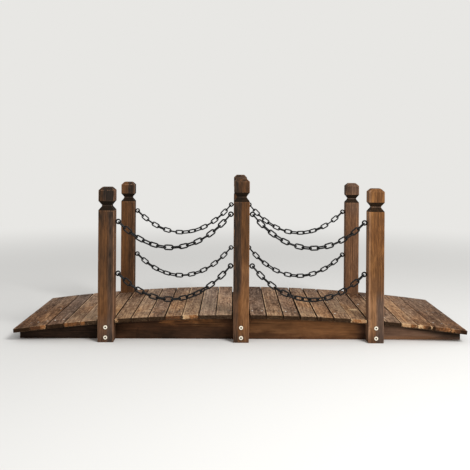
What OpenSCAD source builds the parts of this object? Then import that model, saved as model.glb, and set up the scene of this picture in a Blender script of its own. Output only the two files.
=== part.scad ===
// Small garden footbridge. A deck of cross planks follows a shallow arch on three
// flat-bottomed beams. Posts with grooved heads are bolted to the outer faces of
// the side beams, and chains hang between them as a rail.
// The length runs along X and the width along Y. Beams and posts stand on z = 0.

/* [Deck] */
// Width of one plank, along the bridge
plank_w = 64; // [50:1:80]
// Thickness of a plank
plank_t = 16; // [12:1:22]
// Gap between neighbouring planks
plank_gap = 3.75; // [1:0.25:8]
// Planks from one post's plank to the next post's plank
bay_planks = 8; // [5:1:10]
// Planks beyond each end post's plank
ramp_planks = 5; // [3:1:6]
// Length of plank past the outer face of a side beam
plank_overhang = 55; // [5:1:60]
// Length of the last plank past the end of the beams
deck_lip = 11; // [0:1:25]
// Gap between a plank cut back at a post and that post
post_plank_gap = 1; // [0.5:0.5:4]

/* [Beams] */
// Clear width between the posts, which is also the width over the side beams
clear_w = 535; // [400:5:800]
// Thickness of a beam
beam_t = 42; // [22:1:50]
// Height of a beam at the middle of the bridge
beam_mid_h = 94; // [70:1:130]
// Height of a beam at its ends
beam_end_h = 35; // [20:1:50]
// Clearance between a beam's arched top and the flat back of a plank
plank_seat = 0.1; // [0.05:0.05:0.3]

/* [Posts] */
// Side of the square posts
post_w = 63; // [45:1:75]
// Height of the posts at the ends
end_post_h = 620; // [480:5:800]
// How much taller the middle posts are
middle_raise = 37; // [0:1:80]
// Height of a post's cap, from the groove's upper edge to the top
cap_h = 56; // [35:1:90]
// Bevel around the top of a cap
cap_bevel = 13; // [4:1:16]
// Depth of the groove under the cap
groove_depth = 12; // [6:1:16]
// Height of each of the groove's two sloping flanks
flank_h = 16; // [6:1:22]
// Height of the flat neck at the bottom of the groove
neck_h = 5; // [2:1:14]

/* [Chains] */
// Diameter of the wire of links and eyes
wire_d = 6; // [3:0.5:6.5]
// Inside length of a link
link_inner_l = 30.9; // [24:0.1:38]
// Inside width of a link
link_inner_w = 11.5; // [10:0.5:16]
// Play between a link and the next one
link_play = 0.4; // [0.2:0.05:0.6]
// Most that a chain twists along its length, back and forth between its ends
chain_twist = 38; // [0:1:45]
// Length of a chain over the straight distance between its ends
chain_slack = 1.15; // [1.05:0.005:1.3]
// Height of the upper eyes on the end posts
upper_eye_z = 480; // [380:1:520]
// Height of the lower eyes on the end posts
lower_eye_z = 271; // [200:1:340]
// How much higher the eyes sit on the middle posts
eye_raise = 32; // [0:1:60]
// Distance from a post's face to the centre of an eye
eye_reach = 12.5; // [11.5:0.5:18]
// Inside diameter of an eye
eye_inner_d = 11; // [9:0.5:13]
// Length of an eye's shank inside the post
eye_shank_l = 20; // [10:1:24]

/* [Bolts] */
// Diameter of a bolt's shank
bolt_d = 8; // [6:1:10]
// Diameter of a bolt's flat head
bolt_head_d = 17; // [12:1:22]
// Height of a bolt's head
bolt_head_h = 3; // [2:0.5:5]
// Width of the hexagon socket across its flats
socket_flats = 5; // [4:1:6]
// Depth of the hexagon socket
socket_depth = 2; // [1:0.5:2.5]
// Width of a nut across its flats
nut_flats = 13; // [10:1:17]
// Height of a nut
nut_h = 6.5; // [4:0.5:8]
// Length of a bolt past its nut
bolt_tail = 3; // [1:1:8]
// Height of the lower bolts
low_bolt_z = 20; // [14:1:26]
// Distance from the upper bolts down from the top of the beams at the end posts
bolt_edge = 12; // [8:1:15]
// Clearance around a shank in its hole
hole_clear = 0.3; // [0.1:0.05:0.5]

/* [Hidden] */
// The arch: half its arc length, its rise, and the angle that it takes up
pitch = plank_w + plank_gap;
side_planks = bay_planks + ramp_planks;
arc_half_l = side_planks * pitch + plank_w / 2 - deck_lip;
arch_rise = beam_mid_h - beam_end_h;
deg = 180 / PI;
arch_turns = 8;
function arch_angle(turns) =
    turns == 0
    ? 2 * arch_rise / arc_half_l * deg
    : let (last = arch_angle(turns - 1), rad = last / deg)
      arch_rise / arc_half_l * rad * rad / (1 - cos(last)) * deg;
half_angle = arch_angle(arch_turns);
arch_r = arc_half_l * deg / half_angle;
arch_centre_z = beam_mid_h - arch_r;
beam_half_l = arch_r * sin(half_angle);
pitch_angle = half_angle * pitch / arc_half_l;

// Posts stand at the planks that close each bay
post_x = arch_r * sin(bay_planks * pitch_angle);
post_y = clear_w / 2 + post_w / 2;
beam_y = clear_w / 2 - beam_t / 2;
groove_h = 2 * flank_h + neck_h;
post_half = post_w / 2;
neck_half = post_half - groove_depth;

// Bolts go through post and side beam
high_bolt_z = arch_centre_z + sqrt(arch_r * arch_r - post_x * post_x) - bolt_edge;
bolt_hole_r = bolt_d / 2 + hole_clear;
grip_l = post_w + beam_t;
head_bevel = 1.2;
head_floor = bolt_head_h - socket_depth;

// Chains: distance between neighbouring links, and the eyes that hold the ends
wire_r = wire_d / 2;
link_pitch = link_inner_l - link_play;
bend_r = link_inner_w / 2 + wire_r;
eye_r = eye_inner_d / 2 + wire_r;
eye_hole_r = wire_r + hole_clear / 2;
pull_angle = 45;
pull = (eye_inner_d - link_play) / 2 * [cos(pull_angle), -sin(pull_angle)];

plank_colour = [0.47, 0.36, 0.27];
beam_colour = [0.33, 0.22, 0.15];
post_colour = [0.40, 0.24, 0.16];
chain_colour = [0.06, 0.06, 0.06];
bolt_colour = [0.78, 0.76, 0.70];

// How far a cutting shape runs past what it cuts, and the facets of round shapes
cut = 1;
arch_fn = 1440;
round_fn = 32;

SIDES = [["front", -1], ["rear", 1]];
POSTS = [["left", -1], ["middle", 0], ["right", 1]];
BAYS = [["left", -1], ["right", 1]];
LEVELS = [["upper", upper_eye_z], ["lower", lower_eye_z]];

function plank_name(k) =
    let (n = k + side_planks + 1) str("plank_", n < 10 ? "0" : "", n);
function post_name(side, post) = str(side[0], "_post_", post[0]);
function chain_name(side, bay, level) = str(side[0], "_", bay[0], "_", level[0], "_chain");

// A beam: flat bottom, arched top, with the holes for the post bolts
module beam(y, drilled) {
    color(beam_colour)
    difference() {
        intersection() {
            translate([-beam_half_l, y - beam_t / 2, 0])
                cube([2 * beam_half_l, beam_t, beam_mid_h + cut]);
            translate([0, y, arch_centre_z])
                rotate([90, 0, 0])
                    cylinder(r = arch_r, h = beam_t + 2 * cut, center = true, $fn = arch_fn);
        }
        if (drilled)
            at_bolts() cross_hole(y, beam_t);
    }
}

// One plank, tangent to the arch. A plank that would meet a post ends at its inner face.
function plank_x(k) = arch_r * sin(k * pitch_angle);
function meets_post(k) =
    min([for (p = POSTS) abs(plank_x(k) - p[1] * post_x)])
    < (plank_w + post_w) / 2 + post_plank_gap;
module plank(k) {
    half_l = clear_w / 2 + (meets_post(k) ? -post_plank_gap : plank_overhang);
    color(plank_colour)
    translate([0, 0, arch_centre_z])
        rotate([0, k * pitch_angle, 0])
            translate([-plank_w / 2, -half_l, arch_r + plank_seat])
                cube([plank_w, 2 * half_l, plank_t]);
}

// Outline of a post, symmetrical about its middle, with the bevelled cap and the groove
module post_outline(h) {
    groove_z = h - cap_h;
    right = [
        [post_half, 0],
        [post_half, groove_z - groove_h],
        [neck_half, groove_z - groove_h + flank_h],
        [neck_half, groove_z - flank_h],
        [post_half, groove_z],
        [post_half, h - cap_bevel],
        [post_half - cap_bevel, h]
    ];
    n = len(right);
    left = [for (i = [n - 1 : -1 : 0]) [-right[i][0], right[i][1]]];
    polygon(concat(right, left));
}

// A post is the outline seen from the front and from the side at once
function post_h(x_sign) = end_post_h + (x_sign == 0 ? middle_raise : 0);
module post(x_sign, y_sign) {
    h = post_h(x_sign);
    color(post_colour)
    difference() {
        translate([x_sign * post_x, y_sign * post_y, 0])
            intersection() {
                rotate([90, 0, 0])
                    linear_extrude(post_w + 2 * cut, center = true)
                        post_outline(h);
                rotate([90, 0, 90])
                    linear_extrude(post_w + 2 * cut, center = true)
                        post_outline(h);
            }
        translate([x_sign * post_x, 0, 0])
            bolt_pair() cross_hole(y_sign * post_y, post_w);
        for (eye = EYES)
            if (eye[0] == x_sign)
                eye_hole(eye, y_sign);
    }
}

// Places of the bolts
module bolt_pair() {
    for (z = [low_bolt_z, high_bolt_z])
        translate([0, 0, z])
            children();
}
module at_bolts() {
    for (post = POSTS)
        translate([post[1] * post_x, 0, 0])
            bolt_pair() children();
}
module cross_hole(y, depth) {
    translate([0, y, 0])
        rotate([90, 0, 0])
            cylinder(r = bolt_hole_r, h = depth + 2 * cut, center = true, $fn = round_fn);
}

// A bolt with its nut, whose head rests on the face y = 0 and whose shank runs to +Y
module bolt() {
    shank_l = grip_l + nut_h + bolt_tail;
    root_l = head_floor / 2;
    rotate([90, 0, 0])
        bolt_head();
    rotate([-90, 0, 0]) {
        translate([0, 0, -root_l])
            cylinder(d = bolt_d, h = shank_l + root_l, $fn = round_fn);
        translate([0, 0, grip_l])
            cylinder(d = across_corners(nut_flats), h = nut_h, $fn = 6);
    }
}
module bolt_head() {
    side_h = bolt_head_h - head_bevel;
    difference() {
        union() {
            cylinder(d = bolt_head_d, h = side_h, $fn = round_fn);
            translate([0, 0, side_h])
                cylinder(
                    d1 = bolt_head_d,
                    d2 = bolt_head_d - 2 * head_bevel,
                    h = head_bevel,
                    $fn = round_fn
                );
        }
        translate([0, 0, head_floor])
            cylinder(d = across_corners(socket_flats), h = socket_depth + cut, $fn = 6);
    }
}
function across_corners(flats) = flats / cos(30);
module post_bolts() {
    color(bolt_colour)
    for (mirrored = [0, 1])
        mirror([0, mirrored, 0])
            translate([0, -clear_w / 2 - post_w, 0])
                at_bolts() bolt();
}

// Eyes: post's sign along X, side of that post that the eye is on, and height
EYES = [
    for (bay = BAYS, level = LEVELS, at_end = [true, false])
        [
            at_end ? bay[1] : 0,
            at_end ? -bay[1] : bay[1],
            level[1] + (at_end ? 0 : eye_raise)
        ]
];
function eye_face_x(eye) = eye[0] * post_x + eye[1] * post_half;
module eye_hole(eye, y_sign) {
    depth = eye_shank_l + hole_clear;
    translate([eye_face_x(eye), y_sign * post_y, eye[2]])
        rotate([0, -90 * eye[1], 0])
            translate([0, 0, -cut])
                cylinder(r = eye_hole_r, h = depth + cut, $fn = round_fn);
}
module eye(eye, y_sign) {
    ring_x = eye_reach - eye_r;
    translate([eye_face_x(eye), y_sign * post_y, eye[2]]) {
        translate([eye[1] * eye_reach, 0, 0])
            rotate([90, 0, 0])
                rotate_extrude($fn = 2 * round_fn)
                    translate([eye_r, 0])
                        circle(r = wire_r, $fn = round_fn);
        rotate([0, -90 * eye[1], 0])
            translate([0, 0, -ring_x])
                cylinder(r = wire_r, h = eye_shank_l + ring_x, $fn = round_fn);
    }
}
module screw_eyes() {
    color(chain_colour)
    for (side = SIDES, eye = EYES)
        eye(eye, side[1]);
}

// A hanging chain of equal links has slopes that grow evenly from link to link.
// Link i of n slopes by (i - lowest) * growth, where lowest is the link that lies level.
function slope(i, lowest, growth) = atan((i - lowest) * growth);
function reach(n, lowest, growth) =
    n == 0
    ? [0, 0]
    : let (a = slope(n - 1, lowest, growth))
      reach(n - 1, lowest, growth) + link_pitch * [cos(a), sin(a)];

// Newton's method finds the two values at which the chain ends where its last eye is
hang_turns = 12;
hang_step = 0.0001;
function hang(n, span, lowest, growth, turns) =
    turns == 0
    ? [lowest, growth]
    : let (
        step = hang_step,
        miss = reach(n, lowest, growth) - span,
        by_lowest = (reach(n, lowest + step, growth) - span - miss) / step,
        by_growth = (reach(n, lowest, growth + step) - span - miss) / step,
        det = by_lowest[0] * by_growth[1] - by_growth[0] * by_lowest[1],
        d_lowest = (miss[0] * by_growth[1] - by_growth[0] * miss[1]) / det,
        d_growth = (by_lowest[0] * miss[1] - miss[0] * by_lowest[1]) / det
      )
      hang(n, span, lowest - d_lowest, growth - d_growth, turns - 1);

// One link, lying in the XY plane along X
module link() {
    straight = link_inner_l - link_inner_w;
    for (end = [0, 180])
        rotate([0, 0, end]) {
            translate([straight / 2, 0, 0])
                rotate([0, 0, -90])
                    rotate_extrude(angle = 180, $fn = 2 * round_fn)
                        translate([bend_r, 0])
                            circle(r = wire_r, $fn = round_fn);
            translate([-straight / 2, bend_r, 0])
                rotate([0, 90, 0])
                    cylinder(r = wire_r, h = straight, $fn = round_fn);
        }
}

// Links stand about square to each other in turn, and the chain twists along its length in a
// wave that dies away at its eyes. Where the wave starts differs from chain to chain.
twist_step = 30;
function roll(i, n, phase) =
    (i % 2 == 0 ? 0 : 90)
    + chain_twist * sin(180 * i / (n - 1)) * sin(i * twist_step + phase);

// A chain from the end post of a bay to the middle post, with an odd number of links,
// so that both end links stand square to their eyes
module chain(bay_sign, y_sign, eye_z) {
    phase = 45 * bay_sign + 100 * y_sign + eye_z;
    start = [-post_x + post_half + eye_reach, eye_z] + pull;
    finish = [-post_half - eye_reach, eye_z + eye_raise] + [-pull[0], pull[1]];
    span = finish - start;
    n = 2 * round((norm(span) * chain_slack / link_pitch - 1) / 2) + 1;
    // A flat hanging curve is longer than its span by a sixth of its end slope squared
    end_slope = sqrt(6 * (n * link_pitch / norm(span) - 1));
    hung = hang(n, span, (n - 1) / 2, 2 * end_slope / (n - 1), hang_turns);
    color(chain_colour)
    mirror([bay_sign > 0 ? 1 : 0, 0, 0])
        for (i = [0 : n - 1]) {
            middle = start + (reach(i, hung[0], hung[1]) + reach(i + 1, hung[0], hung[1])) / 2;
            translate([middle[0], y_sign * post_y, middle[1]])
                rotate([0, -slope(i, hung[0], hung[1]), 0])
                    rotate([roll(i, n, phase), 0, 0])
                        link();
        }
}

beam(-beam_y, true);  // front_beam
beam(0, false);  // centre_beam
beam(beam_y, true);  // rear_beam
for (k = [-side_planks : side_planks])
    plank(k);
for (side = SIDES, p = POSTS)
    post(p[1], side[1]);
for (side = SIDES, bay = BAYS, level = LEVELS)
    chain(bay[1], side[1], level[1]);
screw_eyes();
post_bolts();
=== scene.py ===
# %% [markdown]
# # A low garden footbridge
#
# Planks lie across three arched beams, posts with grooved heads are bolted to the two outer
# beams, and black chains sag between the posts. The construction comes as a frame of plain,
# exact solids. This lesson gives every piece of it the surface that years outdoors give it:
# worn arrises, chipped plank ends, grain that runs the right way, lacquer and plated steel.

import math

import bpy
import numpy as np
from mathutils import Matrix, Vector, noise


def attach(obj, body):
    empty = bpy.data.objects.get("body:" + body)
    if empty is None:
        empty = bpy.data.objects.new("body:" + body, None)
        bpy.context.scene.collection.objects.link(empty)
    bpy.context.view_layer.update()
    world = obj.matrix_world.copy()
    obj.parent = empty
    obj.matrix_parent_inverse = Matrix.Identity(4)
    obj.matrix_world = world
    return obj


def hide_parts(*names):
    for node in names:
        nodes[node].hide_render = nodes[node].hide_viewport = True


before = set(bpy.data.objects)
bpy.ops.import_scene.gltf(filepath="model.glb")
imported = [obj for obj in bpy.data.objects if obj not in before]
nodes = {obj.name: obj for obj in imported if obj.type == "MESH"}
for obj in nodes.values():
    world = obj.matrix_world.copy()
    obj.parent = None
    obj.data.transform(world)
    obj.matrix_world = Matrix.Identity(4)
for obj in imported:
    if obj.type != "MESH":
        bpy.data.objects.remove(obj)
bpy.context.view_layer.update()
MM = 0.001
print("pieces in the frame:", len(nodes))

# %% [markdown]
# ## The camera
#
# Upright posts that stay parallel in a picture mean a camera that looks level. It stands a
# little left of the middle, and what it shows is moved down with the lens shift instead of by
# tilting it, so no post leans. The lens, the place and the two small turns were found by
# fitting about ninety points of the object, measured in a picture 470 pixels wide.

# %% Camera
# The picture, the focal length and the level point are in pixels, the turns in radians.
PICTURE_PIXELS = 470
FOCAL_PIXELS = 729.97
LEVEL_POINT = Vector((241.4, 157.0))
CAMERA_PLACE = Vector((-0.0363, -3.2486, 0.7434))
TURN_RIGHT = 0.0113
LEAN = 0.0069
SENSOR_MM = 36


def in_scene(name, data):
    """A new object of the scene for a camera's, a lamp's or a mesh's data."""
    added = bpy.data.objects.new(name, data)
    bpy.context.scene.collection.objects.link(added)
    return added


camera = in_scene("camera", bpy.data.cameras.new("camera"))
bpy.context.scene.camera = camera
camera.data.sensor_width = SENSOR_MM
camera.data.lens = SENSOR_MM * FOCAL_PIXELS / PICTURE_PIXELS
camera.data.shift_x = 0.5 - LEVEL_POINT.x / PICTURE_PIXELS
camera.data.shift_y = LEVEL_POINT.y / PICTURE_PIXELS - 0.5
camera.matrix_world = (
    Matrix.Translation(CAMERA_PLACE)
    @ Matrix.Rotation(-TURN_RIGHT, 4, "Z")
    @ Matrix.Rotation(math.radians(90), 4, "X")
    @ Matrix.Rotation(LEAN, 4, "Z")
)
print("lens in mm:", round(camera.data.lens, 2))

# %% [markdown]
# ## Shader maths in plain expressions
#
# A procedural finish is a sum of masks: rings, fibres, stains, worn edges. Wired by hand it is
# a tangle of Math nodes. One small class wraps a socket, so that `1 - mask` or `rings * 0.4`
# adds the Math node that it stands for, and its method `node` adds any other node.


# %% Sockets that can be added and multiplied
def operator(operation, reflected=False):
    """The method behind one arithmetic sign; reflected is for a number on the left of it."""

    def apply(self, other):
        pair = (other, self) if reflected else (self, other)
        return self.node("ShaderNodeMath", {"operation": operation}, dict(enumerate(pair)))

    return apply


class Flow:
    """What flows out of one socket of a material's nodes, or, at first, just its node tree."""

    __add__ = operator("ADD")
    __radd__ = operator("ADD", reflected=True)
    __sub__ = operator("SUBTRACT")
    __rsub__ = operator("SUBTRACT", reflected=True)
    __mul__ = operator("MULTIPLY")
    __rmul__ = operator("MULTIPLY", reflected=True)
    __truediv__ = operator("DIVIDE")
    __rtruediv__ = operator("DIVIDE", reflected=True)
    __pow__ = operator("POWER")
    __rpow__ = operator("POWER", reflected=True)

    def __init__(self, tree, socket=None):
        self.tree = tree
        self.socket = socket

    def node(self, kind, settings=None, inputs=None, output=0):
        """Adds a node: its settings first, then the values or links of its sockets."""
        added = self.tree.nodes.new(kind)
        for name, value in (settings or {}).items():
            setattr(added, name, value)
        for name, value in (inputs or {}).items():
            if isinstance(value, Flow):
                self.tree.links.new(value.socket, added.inputs[name])
            else:
                added.inputs[name].default_value = value
        return Flow(self.tree, added.outputs[output] if len(added.outputs) else None)


reflected_signs = [name for name in vars(Flow) if name.startswith("__r")]
print("a number may stand on the left of", reflected_signs)

# %% [markdown]
# ## Floor and light
#
# The object stands on a plain pale floor. A floor that ends at a horizon draws a line behind
# the object, so far from the middle it fades into the colour of the world. The fade depends on
# the place on the floor alone. A large soft lamp stands high on the right of the camera, as
# the sun does in the picture: a post then shades the beam on its left by two thirds of the
# post's own depth. The even world fills the shadows.


# %% Colours, bare materials and distances
def tint(red, green, blue):
    """A colour as a paint program shows it, from 0 to 255, taken off the sRGB curve for a shader."""
    shares = [channel / 255 for channel in (red, green, blue)]
    linear = [s / 12.92 if s <= 0.04045 else ((s + 0.055) / 1.055) ** 2.4 for s in shares]
    return (*linear, 1.0)


def bare_material(name):
    """A material without nodes, and a flow to start them from."""
    material = bpy.data.materials.new(name)
    material.use_nodes = True
    material.node_tree.nodes.clear()
    return material, Flow(material.node_tree)


def own_place(start):
    """The place of each point in its own object."""
    return start.node("ShaderNodeTexCoord", output="Object")


def length_of(vector):
    """How long a vector is."""
    return vector.node("ShaderNodeVectorMath", {"operation": "LENGTH"}, {0: vector}, "Value")


def smooth(value, low, high):
    """0 below low, 1 above high and an S-curve between; low above high turns it round."""
    limits = {"Value": value, "From Min": low, "From Max": high}
    return value.node("ShaderNodeMapRange", {"interpolation_type": "SMOOTHSTEP"}, limits)


print("a mid brown for the shader:", [round(c, 3) for c in tint(132, 107, 86)])


# %% Floor
def seen_or_mirrored(start):
    """1 for what shows in the picture, also in a gloss or through glass, and 0 for other light."""
    rays = ("Is Camera Ray", "Is Glossy Ray", "Is Transmission Ray")
    shows, *others = [start.node("ShaderNodeLightPath", output=ray) for ray in rays]
    for other in others:
        shows = shows.node("ShaderNodeMath", {"operation": "MAXIMUM"}, {0: shows, 1: other})
    return shows


BACKDROP = tint(232, 231, 228)
FLOOR_TINT = tint(226, 225, 222)
FLOOR_RADIUS = 40.0
FLOOR_CORNERS = 96
FADE_FROM = 1.6
FADE_TO = 5.0

floor_mesh = bpy.data.meshes.new("floor")
turns = np.linspace(0, 2 * math.pi, FLOOR_CORNERS, endpoint=False)
rim = np.c_[np.cos(turns), np.sin(turns), 0 * turns] * FLOOR_RADIUS
floor_mesh.from_pydata(rim.tolist(), [], [tuple(range(len(rim)))])
floor = in_scene("floor", floor_mesh)

floor_paint, start = bare_material("floor")
away = length_of(own_place(start))
seen = seen_or_mirrored(start)
matt = start.node("ShaderNodeBsdfDiffuse", None, {"Color": FLOOR_TINT})
glow = start.node("ShaderNodeEmission", None, {"Color": BACKDROP, "Strength": 1.0})
fade = smooth(away, FADE_FROM, FADE_TO) * seen
finish = start.node("ShaderNodeMixShader", None, {0: fade, 1: matt, 2: glow})
start.node("ShaderNodeOutputMaterial", None, {"Surface": finish})
floor_mesh.materials.append(floor_paint)
print("floor radius:", FLOOR_RADIUS, "fade from", FADE_FROM, "to", FADE_TO)

# %% World and lamp
WORLD_LEVEL = 0.62
LAMP_TURN = math.radians(34)
LAMP_RISE = math.radians(42)
LAMP_AWAY = 4.6
LAMP_SIDE = 1.5
LAMP_WATTS = 150.0
LAMP_AIM = Vector((0, 0, 0.15))

world = bpy.data.worlds.new("studio")
bpy.context.scene.world = world
world.use_nodes = True
world.node_tree.nodes.clear()
sky = Flow(world.node_tree)
seen = seen_or_mirrored(sky)
even = sky.node("ShaderNodeBackground", None, {"Color": (1, 1, 1, 1), "Strength": WORLD_LEVEL})
shown = sky.node("ShaderNodeBackground", None, {"Color": BACKDROP, "Strength": 1.0})
backdrop = sky.node("ShaderNodeMixShader", None, {0: seen, 1: even, 2: shown})
sky.node("ShaderNodeOutputWorld", None, {"Surface": backdrop})

lamp = in_scene("softbox", bpy.data.lights.new("softbox", "AREA"))
lamp.data.shape = "SQUARE"
lamp.data.size = LAMP_SIDE
lamp.data.energy = LAMP_WATTS
level = math.cos(LAMP_RISE)
towards = Vector((math.sin(LAMP_TURN) * level, -math.cos(LAMP_TURN) * level, math.sin(LAMP_RISE)))
lamp.location = LAMP_AIM + LAMP_AWAY * towards
lamp.rotation_euler = towards.to_track_quat("Z", "Y").to_euler()

bpy.context.scene.view_settings.view_transform = "Standard"
print("lamp at", [round(c, 2) for c in lamp.location])

# %% [markdown]
# ## Measuring the plain solids
#
# Each wooden piece takes its size and place from the corners of the plain solid that it
# replaces. So no size of the construction is written a second time here, where it could
# disagree, and a skin can't drift away from its solid.


# %% Corners of a solid
def corners_of(node):
    """Every different vertex of a plain solid, one row each."""
    points = np.array([vertex.co for vertex in nodes[node].data.vertices])
    return np.unique(points.round(6), axis=0)


def box_of(node):
    """The lowest and the highest corner of the box around a plain solid."""
    corners = corners_of(node)
    return corners.min(axis=0), corners.max(axis=0)


def axis_of(post):
    """Where a post stands, seen from above."""
    low, high = box_of(post)
    return (low + high)[:2] / 2


plank_names = sorted(name for name in nodes if name.startswith("plank_"))
post_names = sorted(name for name in nodes if "_post_" in name)
beam_names = sorted(name for name in nodes if name.endswith("_beam"))
middle_plank = len(plank_names) // 2
print(len(plank_names), "planks,", len(post_names), "posts,", len(beam_names), "beams")

# %% [markdown]
# ## A skin of grid lines
#
# A sawn piece is a box whose arrises have worn round. Bevelling a cube would give every arris
# the same clean radius. Instead the whole skin is made of grid lines, close together near the
# arrises, and each point of it is pulled to a rounded box whose radius wanders along the
# piece. The same grid carries the dents, the chips and the paint masks.


# %% Grid lines and quads
# How far in from an arris the close lines lie, and from a plank's end, where tears need more.
EDGE_STEPS = np.array([0, 0.7, 1.8, 4.0]) * MM
END_STEPS = np.array([0, 0.7, 1.8, 3.2, 5.0, 7.0, 9.5, 13.0]) * MM


def grid_lines(half, spacing, close=EDGE_STEPS):
    """Lines from -half to half: a few close to each arris, the rest about spacing apart."""
    inner = half - close[-1]
    middle = np.linspace(-inner, inner, max(1, round(2 * inner / spacing)) + 1)
    near = half - close[:-1]
    return np.concatenate([-near, middle, near[::-1]])


def box_skin(lines):
    """Points of a box's skin where its grid lines cross, and the quads between them."""
    counts = [len(along) for along in lines]
    steps = np.indices(counts).reshape(3, -1).T
    steps = steps[((steps == 0) | (steps == np.array(counts) - 1)).any(axis=1)]
    number = np.full(counts, -1)
    number[tuple(steps.T)] = np.arange(len(steps))
    quads = []
    for axis in range(3):
        for end in (0, -1):
            sheet = np.take(number, end, axis)
            rows = [sheet[:-1, :-1], sheet[1:, :-1], sheet[1:, 1:], sheet[:-1, 1:]]
            quad = np.stack(rows, -1).reshape(-1, 4)
            outward = (end == -1) == (axis != 1)
            quads.append(quad if outward else quad[:, ::-1])
    points = np.stack([lines[axis][steps[:, axis]] for axis in range(3)], -1)
    return points, np.concatenate(quads)


cube_half = 32 * MM
cube, cube_quads = box_skin([grid_lines(cube_half, 8 * MM)] * 3)
print("a cube of 64 mm would have", len(cube), "points and", len(cube_quads), "quads")


# %% Round and worn arrises
def lumpy(points, per_metre, seed=0.0):
    """Noise from -1 to 1 at each point; another seed gives another piece other lumps."""
    shifted = points * per_metre + seed
    return np.array([noise.noise(point) for point in shifted])


def rounded(points, half, radius, uneven, per_metre, seed):
    """Points of a box's skin, pulled onto the same box with round arrises of uneven radius."""
    radius = radius * (1 + uneven * lumpy(points, per_metre, seed))[:, None]
    core = np.clip(points, radius - half, half - radius)
    away = points - core
    length = np.linalg.norm(away, axis=1, keepdims=True)
    return core + away / np.maximum(length, 1e-9) * radius


def near_arris(points, half, reach):
    """1 on an arris, falling off over reach: the second smallest distance to a face."""
    return np.exp(-np.sort(half - np.abs(points), axis=1)[:, 1] / reach)


def end_grain(along, half):
    """1 on a sawn end, fading to 0 over the millimetre next to it."""
    return np.clip((np.abs(along) - half + MM) / MM, 0, 1)


worn = near_arris(np.array([[32, 0, 27]]) * MM, cube_half, reach=5 * MM)
print("its wear 5 mm from an arris, if it reaches as far:", worn[0].round(2))


# %% Turning a skin into a piece
def add_piece(name, points, quads, paint, masks):
    """A smooth mesh that rides on the frame, with one value a point for each mask."""
    mesh = bpy.data.meshes.new(name)
    mesh.from_pydata(points.tolist(), [], quads.tolist())
    mesh.shade_smooth()
    for mask, values in masks.items():
        kind = "FLOAT_VECTOR" if values.ndim == 2 else "FLOAT"
        layer = mesh.attributes.new(mask, kind, "POINT")
        layer.data.foreach_set("vector" if values.ndim == 2 else "value", values.ravel())
    mesh.materials.append(paint)
    piece = in_scene(name, mesh)
    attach(piece, "root")
    return piece


# %% [markdown]
# ## Wood that is solid all through
#
# Grain painted on a face stops at its arris. Here the wood is a solid: every point of a piece
# carries its place in the tree it was sawn from, with the pith at zero and Z up the trunk, and
# the shader grows rings around the pith. So a flame on a plank's face and the arcs on its end
# meet at the arris, as they do in a real board, and no two boards come from the same place.
#
# Over the rings lie the fibres, the drying checks, a dark stain that the weather has thinned
# in patches, pale arrises where feet and rain have rubbed it off, and torn ends that show
# fresh wood. Each of these is a mask from 0 to 1 that the colour, the gloss and the bumps use.


# %% Nodes that a finish is made of
def painted(start, name, output="Fac"):
    """What a piece's own points say under that name."""
    return start.node("ShaderNodeAttribute", {"attribute_name": name}, output=output)


def share_along(vector, axis):
    """How far a vector reaches along an axis."""
    pair = {0: vector, 1: axis}
    return vector.node("ShaderNodeVectorMath", {"operation": "DOT_PRODUCT"}, pair, "Value")


def scaled(vector, by):
    """A vector or colour times three numbers, or times one flow."""
    if isinstance(by, Flow):
        return vector.node("ShaderNodeVectorMath", {"operation": "SCALE"}, {0: vector, "Scale": by})
    return vector.node("ShaderNodeVectorMath", {"operation": "MULTIPLY"}, {0: vector, 1: by})


def mixed(amount, first, second):
    """first where amount is 0 and second where it is 1, as a colour."""
    colours = {0: amount, 6: first, 7: second}
    return amount.node("ShaderNodeMix", {"data_type": "RGBA"}, colours, 2)


def ramp(level, *colours):
    """The first colour where level is 0, the last one where it is 1, the rest evenly between."""
    shades = level.node("ShaderNodeValToRGB", None, {"Fac": level})
    elements = shades.socket.node.color_ramp.elements
    while len(elements) < len(colours):
        elements.new(1.0)
    for element, place, colour in zip(elements, np.linspace(0, 1, len(colours)), colours):
        element.position = place
        element.color = colour
    return shades


def cloudy(vector, per_metre, detail=2.0, roughness=0.5):
    """Noise from 0 to 1 whose lumps come per_metre times a metre along each axis."""
    inputs = {"Vector": scaled(vector, per_metre), "Scale": 1.0}
    inputs.update({"Detail": detail, "Roughness": roughness})
    return vector.node("ShaderNodeTexNoise", None, inputs, "Fac")


def bumps(height, strength, depth):
    """Normals that tilt as if the surface rose by depth where height goes from 0 to 1."""
    inputs = {"Height": height, "Strength": strength, "Distance": depth}
    return height.node("ShaderNodeBump", None, inputs)


def shaded(start, sockets):
    """Ends a material in a principled shader with these values or links."""
    surface = start.node("ShaderNodeBsdfPrincipled", None, sockets)
    start.node("ShaderNodeOutputMaterial", None, {"Surface": surface})


helpers = (painted, share_along, scaled, mixed, ramp, cloudy, bumps, shaded)
print("helpers that add nodes:", [helper.__name__ for helper in helpers])

# %% Rings and knots
# Knots grow outwards from the pith. They are looked for on a cylinder around it, unrolled, and
# there are so many a metre along it and around it.
KNOT_SHELL = 60 * MM
KNOTS_PER_METRE = 5.0
KNOT_SWELLING = 35 * MM
RING_BEND = 12 * MM
RING_BENDS = (9, 9, 1.6)
RING_FRAY = 0.9
RING_FRAYS = (60, 60, 2)
# Shares of a year: late wood sets in between the first two and ends between the other two.
LATE_FROM = (0.3, 0.9)
LATE_TO = (1.0, 0.94)


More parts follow.
